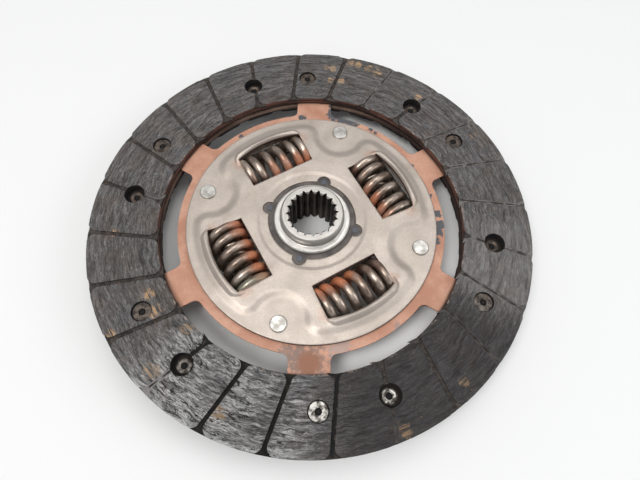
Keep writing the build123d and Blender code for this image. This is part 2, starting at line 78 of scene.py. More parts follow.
def minus(tree, first, second):
    return mathStep(tree, "SUBTRACT", first, second)


def vectorStep(tree, operation, first, second=None, scale=None):
    node = tree.nodes.new("ShaderNodeVectorMath")
    node.operation = operation
    feed(tree, node.inputs[0], first)
    feed(tree, node.inputs[1], second)
    if scale is not None:
        feed(tree, node.inputs["Scale"], scale)
    return node.outputs["Value"] if operation in ("LENGTH", "DISTANCE", "DOT_PRODUCT") else node.outputs[0]


def upVector(tree, value):
    node = tree.nodes.new("ShaderNodeCombineXYZ")
    feed(tree, node.inputs[2], value)
    return node.outputs[0]


def noiseStep(tree, vector, scale, detail=4.0, roughness=0.55, distortion=0.0):
    node = tree.nodes.new("ShaderNodeTexNoise")
    feed(tree, node.inputs["Vector"], vector)
    feed(tree, node.inputs["Scale"], scale)
    feed(tree, node.inputs["Detail"], detail)
    feed(tree, node.inputs["Roughness"], roughness)
    feed(tree, node.inputs["Distortion"], distortion)
    return node.outputs["Fac"]


def stretchedNoise(tree, vector, flatScale, upScale, detail, roughness, distortion=0.0):
    # on a group's Around output a large upScale draws streaks round the disc
    stretched = vectorStep(tree, "MULTIPLY", vector, (flatScale, flatScale, upScale))
    return noiseStep(tree, stretched, 1.0, detail, roughness, distortion)


def rangeStep(tree, value, low, high, outLow=0.0, outHigh=1.0):
    node = tree.nodes.new("ShaderNodeMapRange")
    node.interpolation_type = "SMOOTHSTEP"
    feed(tree, node.inputs["Value"], value)
    feed(tree, node.inputs["From Min"], low)
    feed(tree, node.inputs["From Max"], high)
    feed(tree, node.inputs["To Min"], outLow)
    feed(tree, node.inputs["To Max"], outHigh)
    return node.outputs["Result"]


def asColour(value):
    return (*value, 1.0) if isinstance(value, tuple) else value


def mixColour(tree, factor, first, second):
    node = tree.nodes.new("ShaderNodeMix")
    node.data_type = "RGBA"
    node.clamp_factor = True
    feed(tree, node.inputs[0], factor)
    feed(tree, node.inputs[6], asColour(first))
    feed(tree, node.inputs[7], asColour(second))
    return node.outputs[2]


def layOver(tree, colour, tone, mask, strength):
    return mixColour(tree, times(tree, mask, strength), colour, tone)


def mixValue(tree, factor, first, second):
    node = tree.nodes.new("ShaderNodeMix")
    node.data_type = "FLOAT"
    node.clamp_factor = True
    feed(tree, node.inputs[0], factor)
    feed(tree, node.inputs[2], first)
    feed(tree, node.inputs[3], second)
    return node.outputs[0]


def startGroup(name, inputs, outputs):
    tree = bpy.data.node_groups.new(name, "ShaderNodeTree")
    for label, kind, value in inputs:
        socket = tree.interface.new_socket(name=label, in_out="INPUT", socket_type="NodeSocket" + kind)
        if value is not None:
            socket.default_value = value
    for label, kind in outputs:
        tree.interface.new_socket(name=label, in_out="OUTPUT", socket_type="NodeSocket" + kind)
    return tree, tree.nodes.new("NodeGroupInput").outputs, tree.nodes.new("NodeGroupOutput").inputs


def useGroup(tree, group, **values):
    node = tree.nodes.new("ShaderNodeGroup")
    node.node_tree = group
    for label, value in values.items():
        feed(tree, node.inputs[label], value)
    return node.outputs


def startMaterial(name):
    material = bpy.data.materials.new(name)
    material.use_nodes = True
    tree = material.node_tree
    place = tree.nodes.new("ShaderNodeTexCoord").outputs["Object"]
    return material, tree, tree.nodes["Principled BSDF"], place


def addBump(tree, shader, height, strength, distance, rounding=None):
    # the distance and the rounding of the edges are in millimetres
    node = tree.nodes.new("ShaderNodeBump")
    node.inputs["Strength"].default_value = strength
    node.inputs["Distance"].default_value = distance * millimetre
    feed(tree, node.inputs["Height"], height)
    if rounding is not None:
        bevel = tree.nodes.new("ShaderNodeBevel")
        bevel.samples = 6
        bevel.inputs["Radius"].default_value = rounding * millimetre
        tree.links.new(bevel.outputs["Normal"], node.inputs["Normal"])
    tree.links.new(node.outputs["Normal"], shader.inputs["Normal"])


def addPiece(name, shape, finish):
    mesh = bpy.data.meshes.new(name)
    shape.to_mesh(mesh)
    shape.free()
    mesh.materials.append(finish)
    piece = bpy.data.objects.new(name, mesh)
    bpy.context.scene.collection.objects.link(piece)
    return piece


# where a point lies: millimetres from the axis, millimetres up, and a direction round the disc that has no seam
ringPlace, given, result = startGroup("ringPlace", [("Position", "Vector", None)],
    [("Radius", "Float"), ("Height", "Float"), ("Around", "Vector")])
scaled = vectorStep(ringPlace, "SCALE", given["Position"], scale=1.0 / millimetre)
flatPart = vectorStep(ringPlace, "MULTIPLY", scaled, (1.0, 1.0, 0.0))
parts = ringPlace.nodes.new("ShaderNodeSeparateXYZ")
ringPlace.links.new(scaled, parts.inputs[0])
radiusOut = vectorStep(ringPlace, "LENGTH", flatPart)
upPart = upVector(ringPlace, times(ringPlace, radiusOut, 0.01))
feed(ringPlace, result["Radius"], radiusOut)
feed(ringPlace, result["Height"], parts.outputs[2])
feed(ringPlace, result["Around"], vectorStep(ringPlace, "ADD", vectorStep(ringPlace, "NORMALIZE", flatPart), upPart))

# soft blotches: a mask that is 1 inside them; the noise lies about 0.5, so more cover means a lower threshold
blotches, given, result = startGroup("blotches",
    [("Position", "Vector", None), ("Size", "Float", 5.0), ("Cover", "Float", 0.5), ("Softness", "Float", 0.08),
     ("Detail", "Float", 5.0)], [("Mask", "Float")])
blotchScale = mathStep(blotches, "DIVIDE", 1.0 / millimetre, given["Size"])
blotchNoise = noiseStep(blotches, given["Position"], blotchScale, given["Detail"], 0.6)
threshold = minus(blotches, 0.76, times(blotches, given["Cover"], 0.52))
feed(blotches, result["Mask"], rangeStep(blotches, blotchNoise, minus(blotches, threshold, given["Softness"]),
    plus(blotches, threshold, given["Softness"])))

# one ragged spot round a centre, both in millimetres
spots, given, result = startGroup("spot",
    [("Position", "Vector", None), ("Centre", "Vector", None), ("Reach", "Float", 4.0), ("Ragged", "Float", 0.6)],
    [("Mask", "Float")])
scaled = vectorStep(spots, "SCALE", given["Position"], scale=1.0 / millimetre)
share = mathStep(spots, "DIVIDE", vectorStep(spots, "DISTANCE", scaled, given["Centre"]), given["Reach"])
edge = minus(spots, noiseStep(spots, scaled, 0.55, 4.0, 0.65), 0.5)
edge = times(spots, edge, times(spots, given["Ragged"], 4.0))
feed(spots, result["Mask"], rangeStep(spots, plus(spots, share, edge), 1.1, 0.55))
print("clutch disc: shared effects built")


def blotchMask(tree, place, size, cover, softness, detail=None):
    return useGroup(tree, blotches, Position=place, Size=size, Cover=cover, Softness=softness, Detail=detail)["Mask"]


def spotMask(tree, place, angle, radius, height, reach, ragged=None):
    centre = (radius * math.cos(math.radians(angle)), radius * math.sin(math.radians(angle)), height)
    return useGroup(tree, spots, Position=place, Centre=centre, Reach=reach, Ragged=ragged)["Mask"]


def facing(tree, place, angle, fromDot, toDot):
    # 1 on the side of the disc that lies towards an angle
    towards = (math.cos(math.radians(angle)), math.sin(math.radians(angle)), 0.0)
    flatPlace = vectorStep(tree, "NORMALIZE", vectorStep(tree, "MULTIPLY", place, (1.0, 1.0, 0.0)))
    return rangeStep(tree, vectorStep(tree, "DOT_PRODUCT", flatPlace, towards), fromDot, toDot)


def outAlong(tree, place, angle):
    # millimetres out from the axis, in one direction
    turned = math.radians(angle)
    return vectorStep(tree, "DOT_PRODUCT", place, (math.cos(turned) / millimetre, math.sin(turned) / millimetre, 0.0))


def normalUp(tree):
    node = tree.nodes.new("ShaderNodeSeparateXYZ")
    tree.links.new(tree.nodes["Texture Coordinate"].outputs["Normal"], node.inputs[0])
    return node.outputs[2]


def flatMask(tree, low, high):
    # 1 where a surface faces up or down the disc's axis, 0 on its walls
    return rangeStep(tree, mathStep(tree, "ABSOLUTE", normalUp(tree)), low, high)


# the two friction rings
lining = {
    "frontFace": 17.8, "rearFace": 9.6,
    "dark": (0.052, 0.047, 0.045), "middle": (0.155, 0.143, 0.135), "pale": (0.33, 0.31, 0.29),
    "brown": (0.150, 0.096, 0.066), "blue": (0.105, 0.112, 0.128), "creviceShade": (0.016, 0.010, 0.007),
    "sheen": (0.62, 0.61, 0.60), "paintedGlint": (0.86, 0.84, 0.82), "paintedEdgeHighlight": (0.80, 0.79, 0.78),
    "paintedSkyReflection": (0.36, 0.34, 0.33), "worn": (0.028, 0.025, 0.025), "ochre": (0.64, 0.40, 0.21),
    "chipped": (0.46, 0.36, 0.30), "crumb": (0.36, 0.20, 0.10),
    "recessShadeDark": (0.009, 0.008, 0.007), "recessShadePale": (0.040, 0.030, 0.024), "recessWallShade": (0.013, 0.010, 0.009),
    "innerDark": (0.040, 0.019, 0.013), "innerRed": (0.19, 0.082, 0.055), "innerWallShade": (0.010, 0.006, 0.005),
    "innerLip": (0.22, 0.092, 0.062), "outerWall": (0.050, 0.040, 0.034),
    "rearDark": (0.17, 0.095, 0.066), "rearPale": (0.36, 0.235, 0.175), "rearShade": (0.050, 0.026, 0.020),
    "rearWallShade": (0.012, 0.008, 0.007),
    # glossy side with painted reflection, side worn black, side with painted sky reflection: the angle, then how wide
    # each is as two cosines
    "shinySide": (247.0, 0.885, 0.975), "wornSide": (304.0, 0.83, 0.95), "skyReflectionSide": (347.0, 0.955, 0.99),
    "wornDepth": 0.76,
    # streaks that run round the ring
    "wander": (9.0, 12.0, 3.0, 0.5), "streak": (13.0, 105.0, 6.0, 0.68, 0.3), "crack": (9.0, 82.0, 6.0, 0.73, 0.7),
    "flaking": (24.0, 88.0, 5.0, 0.7, 1.1), "fibre": (55.0, 380.0, 4.0, 0.65), "fleck": (9.0, 118.0, 5.0, 0.7),
    "bands": (70.0, 1100.0, 4.0, 0.6),
    # even noises
    "lump": (260.0, 5.0, 0.62), "grit": (1700.0, 2.0, 0.6), "patch": (85.0, 4.0, 0.6), "chip": (480.0, 4.0, 0.65),
    "speck": (620.0, 3.0, 0.6),
    "brownBlotches": (12.0, 0.38, 0.12), "blueBlotches": (10.0, 0.40, 0.12),
    "wanderReach": 0.034, "layers": 8.0, "sunkDepths": (0.10, 0.40), "rearShine": 0.35,
    # radii between which the walls and the edges change
    "innerWallRadii": (67.2, 67.8), "outerWallRadii": (93.6, 94.3), "brightEdgeRadii": (94.0, 97.5),
    "chippedRadii": (67.75, 67.25),
    "bump": (0.95, 1.1, 0.8),
    # angle, radius, reach and strength
    "ochreSpots": [
        (31, 89, 1.8, 0.85), (53, 85.5, 2.0, 0.85), (69.6, 89.6, 2.4, 0.85), (72.4, 90.4, 2.4, 0.85),
        (76.0, 91.3, 2.0, 0.85), (78.6, 91.8, 2.2, 0.85), (84, 86, 2.2, 0.85), (86.2, 86.4, 1.6, 0.85),
        (80.4, 78.6, 2.2, 0.85), (82.4, 78.4, 1.8, 0.85), (84.4, 78.4, 1.8, 0.85), (214, 93, 2.4, 0.80),
        (209, 74.1, 2.6, 0.80), (215, 74.3, 3.0, 0.75), (228, 88, 3.4, 0.65), (247.8, 86.5, 3.0, 0.65),
        (226, 68.5, 2.6, 0.65), (292, 92, 3.6, 0.42), (310.8, 89, 2.0, 0.36), (186, 84, 2.0, 0.75),
    ],
}


def innerWallColour(tree, place, depth, front):
    # brown, with lines round the ring: redder near the front face and pale behind the plate, with painted shade that
    # goes black elsewhere
    bands = stretchedNoise(tree, place, *lining["bands"])
    wandering = plus(tree, depth, bands)
    if front:
        colour = mixColour(tree, rangeStep(tree, bands, 0.36, 0.64), lining["innerDark"], lining["innerRed"])
        colour = mixColour(tree, rangeStep(tree, wandering, 3.1, 3.7), colour, lining["innerWallShade"])
        lip = mathStep(tree, "ABSOLUTE", minus(tree, plus(tree, depth, times(tree, bands, 0.9)), 1.05))
        return layOver(tree, colour, lining["innerLip"], rangeStep(tree, lip, 0.62, 0.15), 0.60)
    colour = mixColour(tree, rangeStep(tree, bands, 0.40, 0.62), lining["rearDark"], lining["rearPale"])
    # painted shade on the rear wall away from 120 degrees, and black painted shade near the rear face
    colour = mixColour(tree, facing(tree, place, 120.0, 0.30, 0.85), lining["rearShade"], colour)
    return mixColour(tree, rangeStep(tree, wandering, 1.6, 3.1), lining["rearWallShade"], colour)


def liningMaterial(name, faceHeight, front):
    material, tree, shader, place = startMaterial(name)
    where = useGroup(tree, ringPlace, Position=place)
    side = 1.0 if front else -1.0
    flatness = rangeStep(tree, times(tree, normalUp(tree), side), 0.5, 0.9)
    depth = times(tree, minus(tree, faceHeight, where["Height"]), side)
    sunk = rangeStep(tree, depth, *lining["sunkDepths"])

    # yarn wound round the ring in flaking layers: long streaks that wander in and out, with ragged steps between
    wander = stretchedNoise(tree, where["Around"], *lining["wander"])
    wound = vectorStep(tree, "ADD", where["Around"], upVector(tree, times(tree, wander, lining["wanderReach"])))
    streak, crack, flaking, fibre = (stretchedNoise(tree, wound, *lining[key])
                                     for key in ("streak", "crack", "flaking", "fibre"))
    lump, grit, patch, chip, speck = (noiseStep(tree, place, *lining[key])
                                      for key in ("lump", "grit", "patch", "chip", "speck"))
    fleck = rangeStep(tree, stretchedNoise(tree, where["Around"], *lining["fleck"]), 0.46, 0.53)
    layer = mathStep(tree, "FRACT", times(tree, streak, lining["layers"]))

    shine = times(tree, facing(tree, place, *lining["shinySide"]), 1.0 if front else lining["rearShine"])
    shine = times(tree, shine, rangeStep(tree, patch, 0.40, 0.56, 0.35, 1.0))
    torn = times(tree, rangeStep(tree, flaking, 0.458, 0.418), mixValue(tree, shine, 0.25, 1.0))
    # cracks between the flakes, painted near black as shade, more so on the glossy side
    creviceShade = times(tree, rangeStep(tree, layer, 0.26, 0.02), rangeStep(tree, lump, 0.44, 0.58))
    creviceShade = mathStep(tree, "MAXIMUM", creviceShade, rangeStep(tree, crack, 0.425, 0.385))
    creviceShade = mathStep(tree, "MAXIMUM", creviceShade, torn)
    # painted highlights: pale glints along the cracks, strongest on the glossy side
    paintedGlint = times(tree, rangeStep(tree, crack, 0.515, 0.555), rangeStep(tree, fibre, 0.42, 0.52))
    roughRadius = plus(tree, where["Radius"], times(tree, lump, 6.0))
    # painted highlight along the ring's outer edge on the glossy side
    paintedEdgeHighlight = times(tree, shine, rangeStep(tree, roughRadius, *lining["brightEdgeRadii"]))
    aside = vectorStep(tree, "ADD", place, (0.3, 0.1, 0.0))  # keeps the blue blotches off the brown ones

    colour = mixColour(tree, rangeStep(tree, streak, 0.34, 0.66), lining["dark"], lining["middle"])
    colour = layOver(tree, colour, lining["pale"], rangeStep(tree, fibre, 0.48, 0.72), 0.60)
    colour = layOver(tree, colour, lining["pale"], rangeStep(tree, grit, 0.56, 0.75), 0.25)
    colour = layOver(tree, colour, lining["brown"], blotchMask(tree, place, *lining["brownBlotches"]), 0.36)
    colour = layOver(tree, colour, lining["blue"], blotchMask(tree, aside, *lining["blueBlotches"]), 0.28)
    # painted reflection: the glossy side is lightened towards a pale grey
    colour = layOver(tree, colour, lining["sheen"], shine, rangeStep(tree, streak, 0.40, 0.58, 0.10, 0.80))
    colour = layOver(tree, colour, lining["paintedGlint"], paintedGlint, mixValue(tree, shine, 0.10, 0.85))
    colour = layOver(tree, colour, lining["paintedEdgeHighlight"], paintedEdgeHighlight, 0.55)
    # painted sky reflection: a pale grey wash on one side of the ring
    colour = layOver(tree, colour, lining["paintedSkyReflection"], facing(tree, place, *lining["skyReflectionSide"]), 0.30)
    colour = layOver(tree, colour, lining["worn"], facing(tree, place, *lining["wornSide"]), lining["wornDepth"])
    colour = layOver(tree, colour, lining["creviceShade"], creviceShade, mixValue(tree, shine, 0.55, 0.95))
    if front:
        for angle, radius, reach, strength in lining["ochreSpots"]:
            ochre = times(tree, spotMask(tree, place, angle, radius, faceHeight, reach), fleck)
            colour = layOver(tree, colour, lining["ochre"], ochre, strength)

    # pale crumbs where the ring's inner edge has broken away, and rusty ones all over
    roughRadius = plus(tree, where["Radius"], times(tree, lump, 1.6))
    chipped = times(tree, rangeStep(tree, roughRadius, *lining["chippedRadii"]), rangeStep(tree, chip, 0.53, 0.60))
    colour = layOver(tree, colour, lining["chipped"], chipped, 0.62)
    colour = layOver(tree, colour, lining["crumb"], times(tree, rangeStep(tree, speck, 0.68, 0.73), fleck), 0.7)

    # painted shade: the floors of grooves and holes go near black, and so do their walls
    hole = mixColour(tree, rangeStep(tree, lump, 0.40, 0.75), lining["recessShadeDark"], lining["recessShadePale"])
    colour = mixColour(tree, sunk, colour, hole)
    innerWall = innerWallColour(tree, place, depth, front)
    wall = mixColour(tree, rangeStep(tree, where["Radius"], *lining["innerWallRadii"]), innerWall, lining["recessWallShade"])
    wall = mixColour(tree, rangeStep(tree, where["Radius"], *lining["outerWallRadii"]), wall, lining["outerWall"])
    tree.links.new(mixColour(tree, flatness, wall, colour), shader.inputs["Base Color"])

    dullRough = rangeStep(tree, streak, 0.35, 0.7, 0.84, 0.66)
    rough = mixValue(tree, shine, dullRough, rangeStep(tree, fibre, 0.35, 0.7, 0.50, 0.30))
    rough = mixValue(tree, creviceShade, rough, 0.9)
    tree.links.new(mixValue(tree, sunk, rough, 0.95), shader.inputs["Roughness"])

    relief = times(tree, streak, mixValue(tree, shine, 0.8, 1.5))
    relief = plus(tree, relief, times(tree, layer, mixValue(tree, shine, 0.10, 0.26)))
    relief = plus(tree, relief, times(tree, fibre, 0.24))
    relief = plus(tree, relief, times(tree, rangeStep(tree, crack, 0.38, 0.48), mixValue(tree, shine, 0.20, 0.55)))
    relief = minus(tree, relief, times(tree, torn, 0.35))
    relief = plus(tree, relief, times(tree, lump, 0.40))
    relief = plus(tree, relief, times(tree, grit, 0.06))
    addBump(tree, shader, relief, *lining["bump"])
    return material


# dust packed in the grooves of the front ring
grooveDust = {
    "first": 10.6, "step": 15.0,  # the first groove's direction, and the turn from one groove to the next
    "offset": 15.8,  # how far a groove's middle line passes from the axis
    "bottom": 16.7, "depth": 1.1, "below": 0.05,  # the groove's floor and depth, and how far the dust goes under it
    "innerRadius": 66.15, "outerRadius": 94.75, "rim": 94.93,
    "halfWidth": 0.95, "cornerWidth": 4.4, "cornerReach": 3.6,  # a groove flares at the ring's two edges
    "holeStart": 74.7, "holeEnd": 83.2, "holeEvery": 4, "holeFirst": 2,  # some grooves cross a rivet's hole
    "stepsAlong": 44, "stepsAcross": 10,
    "lowest": 0.03, "highest": 0.985, "fullFrom": 0.45,
    # the ripples and the furrow, each first as it is and then by how much a full groove changes it
    "ripple": 0.14, "rippleLost": 0.06, "furrow": 0.10, "furrowGained": 0.42, "furrowWidth": 0.7, "furrowLost": 0.25,
    "rimHeap": 0.8, "rimHeapPower": 0.7,
    "lumpNoise": (420.0, 5.0, 0.65), "gritNoise": (1900.0, 3.0, 0.65), "fleckNoise": (800.0, 3.0, 0.6),
    "pressedHeights": (17.48, 17.74), "floorShadeHeights": (16.86, 16.76), "bump": (0.9, 0.6),
    "dark": (0.014, 0.011, 0.0095), "pale": (0.062, 0.050, 0.042), "grit": (0.11, 0.09, 0.076),
    "fleck": (0.36, 0.19, 0.09), "grooveFloorShade": (0.006, 0.005, 0.005),
    "pressedDark": (0.060, 0.055, 0.052), "pressedPale": (0.165, 0.153, 0.145), "pressedShine": (0.30, 0.29, 0.285),
    # how full each groove is, at its inner and its outer end: 0 is open to the floor and 1 is flush with the pads
    "fill": [
        (0.99, 0.99), (0.96, 0.98), (0.45, 0.97), (1.00, 1.00), (0.40, 0.35), (0.62, 0.70), (0.60, 0.70), (0.55, 0.60),
        (0.70, 0.75), (0.60, 0.75), (0.90, 0.75), (0.62, 0.62), (0.50, 0.55), (0.35, 0.40), (0.10, 1.00), (0.00, 0.00),
        (0.00, 0.00), (0.10, 0.10), (0.55, 0.95), (0.45, 0.70), (0.96, 0.98), (0.94, 0.98), (0.95, 0.97), (0.98, 0.99),
    ],
}
# plugs of dirt in the bores of the lining's rivets: in the heads first, then in the clinched ends deeper down
rivetDirt = {"count": 12, "angles": (32.7, 52.7), "pairTurn": 60.0, "circle": 78.9, "tops": (16.75, 14.10),
             "radius": 1.35, "footShare": 0.6, "height": 0.8}


def addDustStrip(shape, direction, fromRadius, toRadius, fromFill, toFill, seed):
    # a grid laid along the groove, heaped and roughened
    made = bmesh.ops.create_grid(shape, x_segments=grooveDust["stepsAlong"], y_segments=grooveDust["stepsAcross"],
        size=0.5)["verts"]
    turn = Matrix.Rotation(math.radians(direction), 3, "Z")
    start, end = (math.sqrt(radius ** 2 - grooveDust["offset"] ** 2) for radius in (fromRadius, toRadius))
    for vert in made:
        share, across = vert.co.x + 0.5, vert.co.y * 2.0
        run = start + (end - start) * share
        radius = math.hypot(run, grooveDust["offset"])
        nearInner = max(0.0, 1.0 - (radius - grooveDust["innerRadius"]) / grooveDust["cornerReach"])
        nearOuter = max(0.0, 1.0 - (grooveDust["outerRadius"] - radius) / grooveDust["cornerReach"])
        flare = (grooveDust["cornerWidth"] - grooveDust["halfWidth"]) * max(nearInner, nearOuter) ** 2
        ripple = noise.noise(Vector((run * 0.55, across * 1.3, seed)))
        ripple += 0.5 * noise.noise(Vector((run * 1.7, across * 3.1, seed + 9.0)))
        level = fromFill + (toFill - fromFill) * share
        full = max(0.0, level - grooveDust["fullFrom"]) / (1.0 - grooveDust["fullFrom"])
        # a furrow down the middle that comes and goes, thinner where the groove is full
        opened = min(1.0, max(0.0, 0.55 + 1.6 * noise.noise(Vector((run * 0.33, seed * 3.1, 4.0)))))
        furrow = grooveDust["furrow"] + grooveDust["furrowGained"] * full * opened
        furrowWidth = grooveDust["furrowWidth"] - grooveDust["furrowLost"] * full
        level += (grooveDust["ripple"] - grooveDust["rippleLost"] * full) * ripple
        level -= furrow * max(0.0, 1.0 - (across / furrowWidth) ** 2)
        heap = grooveDust["rimHeap"] * min(1.0, toFill) * nearOuter ** grooveDust["rimHeapPower"]
        level += (1.0 - level) * heap
        level = min(max(level, grooveDust["lowest"]), grooveDust["highest"])
        point = turn @ Vector((run, grooveDust["offset"] + across * (grooveDust["halfWidth"] + flare), 0.0))
        point *= min(1.0, grooveDust["rim"] / point.length)
        point.z = grooveDust["bottom"] + grooveDust["depth"] * level
        vert.co = point * millimetre


def dustMaterial(name):
    material, tree, shader, place = startMaterial(name)
    lump = noiseStep(tree, place, *grooveDust["lumpNoise"])
    grit = noiseStep(tree, place, *grooveDust["gritNoise"])
    fleck = rangeStep(tree, noiseStep(tree, place, *grooveDust["fleckNoise"]), 0.66, 0.72)
    height = useGroup(tree, ringPlace, Position=place)["Height"]
    colour = mixColour(tree, rangeStep(tree, lump, 0.36, 0.66), grooveDust["dark"], grooveDust["pale"])
    colour = layOver(tree, colour, grooveDust["grit"], rangeStep(tree, grit, 0.50, 0.72), 0.5)
    colour = layOver(tree, colour, grooveDust["fleck"], fleck, 0.6)
    # dust pressed flush with the pads takes their tone and their painted reflection, and the lowest dust is painted
    # black as shade on the groove's floor
    pressed = mixColour(tree, rangeStep(tree, lump, 0.36, 0.60), grooveDust["pressedDark"], grooveDust["pressedPale"])
    pressed = layOver(tree, pressed, grooveDust["pressedShine"], facing(tree, place, *lining["shinySide"]), 0.4)
    pressed = layOver(tree, pressed, lining["worn"], facing(tree, place, *lining["wornSide"]), lining["wornDepth"])
    colour = mixColour(tree, rangeStep(tree, height, *grooveDust["pressedHeights"]), colour, pressed)
    colour = mixColour(tree, rangeStep(tree, height, *grooveDust["floorShadeHeights"]), colour, grooveDust["grooveFloorShade"])
    tree.links.new(colour, shader.inputs["Base Color"])
    tree.links.new(rangeStep(tree, grit, 0.3, 0.7, 0.98, 0.86), shader.inputs["Roughness"])
    addBump(tree, shader, plus(tree, lump, times(tree, grit, 0.35)), *grooveDust["bump"])
    return material


shape = bmesh.new()
for number, (innerFill, outerFill) in enumerate(grooveDust["fill"]):
    direction = grooveDust["first"] + grooveDust["step"] * number
    inner, outer = grooveDust["innerRadius"], grooveDust["outerRadius"]
    if max(innerFill, outerFill) == 0.0:
        continue
    if number % grooveDust["holeEvery"] == grooveDust["holeFirst"]:
        addDustStrip(shape, direction, inner, grooveDust["holeStart"], innerFill, innerFill, number)
        addDustStrip(shape, direction, grooveDust["holeEnd"], outer, outerFill, outerFill, number + 0.5)
    else:
        addDustStrip(shape, direction, inner, outer, innerFill, outerFill, number)
# each strip gets a body down to just under the groove's floor
body = bmesh.ops.extrude_face_region(shape, geom=shape.faces[:], use_keep_orig=True)["geom"]
for item in body:
    if isinstance(item, bmesh.types.BMVert):
        item.co.z = (grooveDust["bottom"] - grooveDust["below"]) * millimetre
for number in range(rivetDirt["count"]):
    turned = math.radians(rivetDirt["angles"][number % 2] + rivetDirt["pairTurn"] * (number // 2))
    seat = Vector((math.cos(turned), math.sin(turned), 0.0)) * rivetDirt["circle"]
    seat.z = rivetDirt["tops"][number % 2] - rivetDirt["height"] / 2
    plugRadius = rivetDirt["radius"] * millimetre
    bmesh.ops.create_cone(shape, cap_ends=True, cap_tris=False, segments=24, radius1=plugRadius,
        radius2=plugRadius * rivetDirt["footShare"], depth=rivetDirt["height"] * millimetre,
        matrix=Matrix.Translation(seat * millimetre))
bmesh.ops.recalc_face_normals(shape, faces=shape.faces[:])
dustPiece = addPiece("grooveDust", shape, dustMaterial("packedDust"))
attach(dustPiece, "disc")
print("clutch disc: groove dust laid,", len(dustPiece.data.polygons), "faces")


# the two pressed sheets that hold the springs
sidePlate = {
    "pale": (0.585, 0.510, 0.450), "dull": (0.455, 0.392, 0.340), "grain": (0.36, 0.315, 0.27),
    "stain": (0.22, 0.14, 0.09), "cutEdge": (0.085, 0.040, 0.024), "cornerReflection": (0.46, 0.24, 0.165),
    "drawnNoise": (6.0, 150.0, 4.0, 0.6), "cloudNoise": (60.0, 4.0, 0.55), "speckNoise": (1300.0, 3.0, 0.7),
    "grainNoise": (2600.0, 2.0, 0.6), "stainBlotches": (14.0, 0.26, 0.12), "bump": (0.35, 0.22, 0.9),
    "face": 17.9, "windowAngles": (30.0, 120.0, 210.0, 300.0),
    # a pinkish wash beside a window's ends, a painted orange reflection: angle from its middle, radius, reach and
    # strength
    "cornerReflections": ((21.6, 43.0, 3.4, 0.34), (-22.0, 43.0, 3.4, 0.30)),
}


def sidePlateMaterial(name, front):
    material, tree, shader, place = startMaterial(name)
    where = useGroup(tree, ringPlace, Position=place)
    drawn = stretchedNoise(tree, where["Around"], *sidePlate["drawnNoise"])
    cloud = noiseStep(tree, place, *sidePlate["cloudNoise"])
    speck = noiseStep(tree, place, *sidePlate["speckNoise"])
    grain = noiseStep(tree, place, *sidePlate["grainNoise"])
    stain = blotchMask(tree, place, *sidePlate["stainBlotches"])
    colour = mixColour(tree, rangeStep(tree, cloud, 0.32, 0.68), sidePlate["dull"], sidePlate["pale"])
    colour = layOver(tree, colour, sidePlate["grain"], rangeStep(tree, grain, 0.38, 0.62), 0.42)
    colour = layOver(tree, colour, sidePlate["pale"], rangeStep(tree, drawn, 0.45, 0.7), 0.18)
    colour = layOver(tree, colour, sidePlate["stain"], stain, 0.22)
    colour = layOver(tree, colour, sidePlate["stain"], rangeStep(tree, speck, 0.66, 0.74), 0.40)
    if front:
        for angle in sidePlate["windowAngles"]:
            for turned, radius, reach, strength in sidePlate["cornerReflections"]:
                # painted reflection: a pinkish wash at the window's corners
                rust = spotMask(tree, place, angle + turned, radius, sidePlate["face"], reach)
                colour = layOver(tree, colour, sidePlate["cornerReflection"], rust, strength)
    walls = minus(tree, 1.0, flatMask(tree, 0.30, 0.62))
    colour = layOver(tree, colour, sidePlate["cutEdge"], walls, 0.92)
    tree.links.new(colour, shader.inputs["Base Color"])
    tree.links.new(rangeStep(tree, walls, 0.0, 1.0, 0.62, 0.2), shader.inputs["Metallic"])
    rough = mixValue(tree, stain, rangeStep(tree, cloud, 0.3, 0.7, 0.50, 0.42), 0.60)
    tree.links.new(mixValue(tree, walls, rough, 0.8), shader.inputs["Roughness"])
    relief = plus(tree, times(tree, drawn, 0.15), times(tree, speck, 0.35))
    relief = plus(tree, relief, times(tree, grain, 0.25))
    addBump(tree, shader, relief, *sidePlate["bump"])
    return material


# the springy plate with a red coat, between the friction rings
cushion = {
    "red": (0.43, 0.205, 0.130), "pale": (0.57, 0.315, 0.22), "speck": (0.27, 0.125, 0.08),
    "bare": (0.22, 0.21, 0.22), "flaked": (0.085, 0.086, 0.094), "underRingShade": (0.014, 0.010, 0.008),
    "cloudNoise": (70.0, 5.0, 0.6), "speckNoise": (1100.0, 3.0, 0.65), "bareBlotches": (7.0, 0.12, 0.03, 7.0),
    "bump": (0.35, 0.3, 0.3), "face": 14.4, "ringEdge": (66.0, 67.8), "metallic": 0.15,
    # angle, radius, reach, strength and tone of the larger marks
    "marks": [
        (262, 59, 5.5, 0.75, (0.225, 0.152, 0.122)), (269, 60.5, 8.5, 0.85, (0.225, 0.150, 0.122)),
        (282, 57, 5.0, 0.5, (0.28, 0.27, 0.27)), (307.5, 57.4, 1.6, 0.5, (0.20, 0.20, 0.22)),
    ],
    "markRagged": 0.9,
    # one round stain: angle, radius, reach, raggedness, strength and tone
    "roundStain": (270.0, 61.2, 5.4, 0.16, 0.9, (0.262, 0.108, 0.058)),
    # places where the coat has flaked off: angle, radius and reach
    "flakes": [
        (82.2, 64.6, 2.08), (82.0, 62.2, 2.47), (80.4, 59.4, 3.9), (75.5, 57.9, 3.77), (72.0, 57.4, 3.51),
        (69.6, 56.6, 2.08), (61.2, 57.4, 1.43), (58.7, 57.0, 1.17), (96.0, 56.6, 2.21), (5.3, 55.7, 2.21),
        (359.6, 56.4, 2.73), (356.5, 55.8, 2.47), (351.5, 55.3, 1.69), (15.0, 55.3, 1.17), (33.0, 55.4, 1.04),
        (128.0, 57.0, 1.17),
    ],
    "largeFlake": 3.0, "largeRagged": 0.5, "smallRagged": 0.8,
}


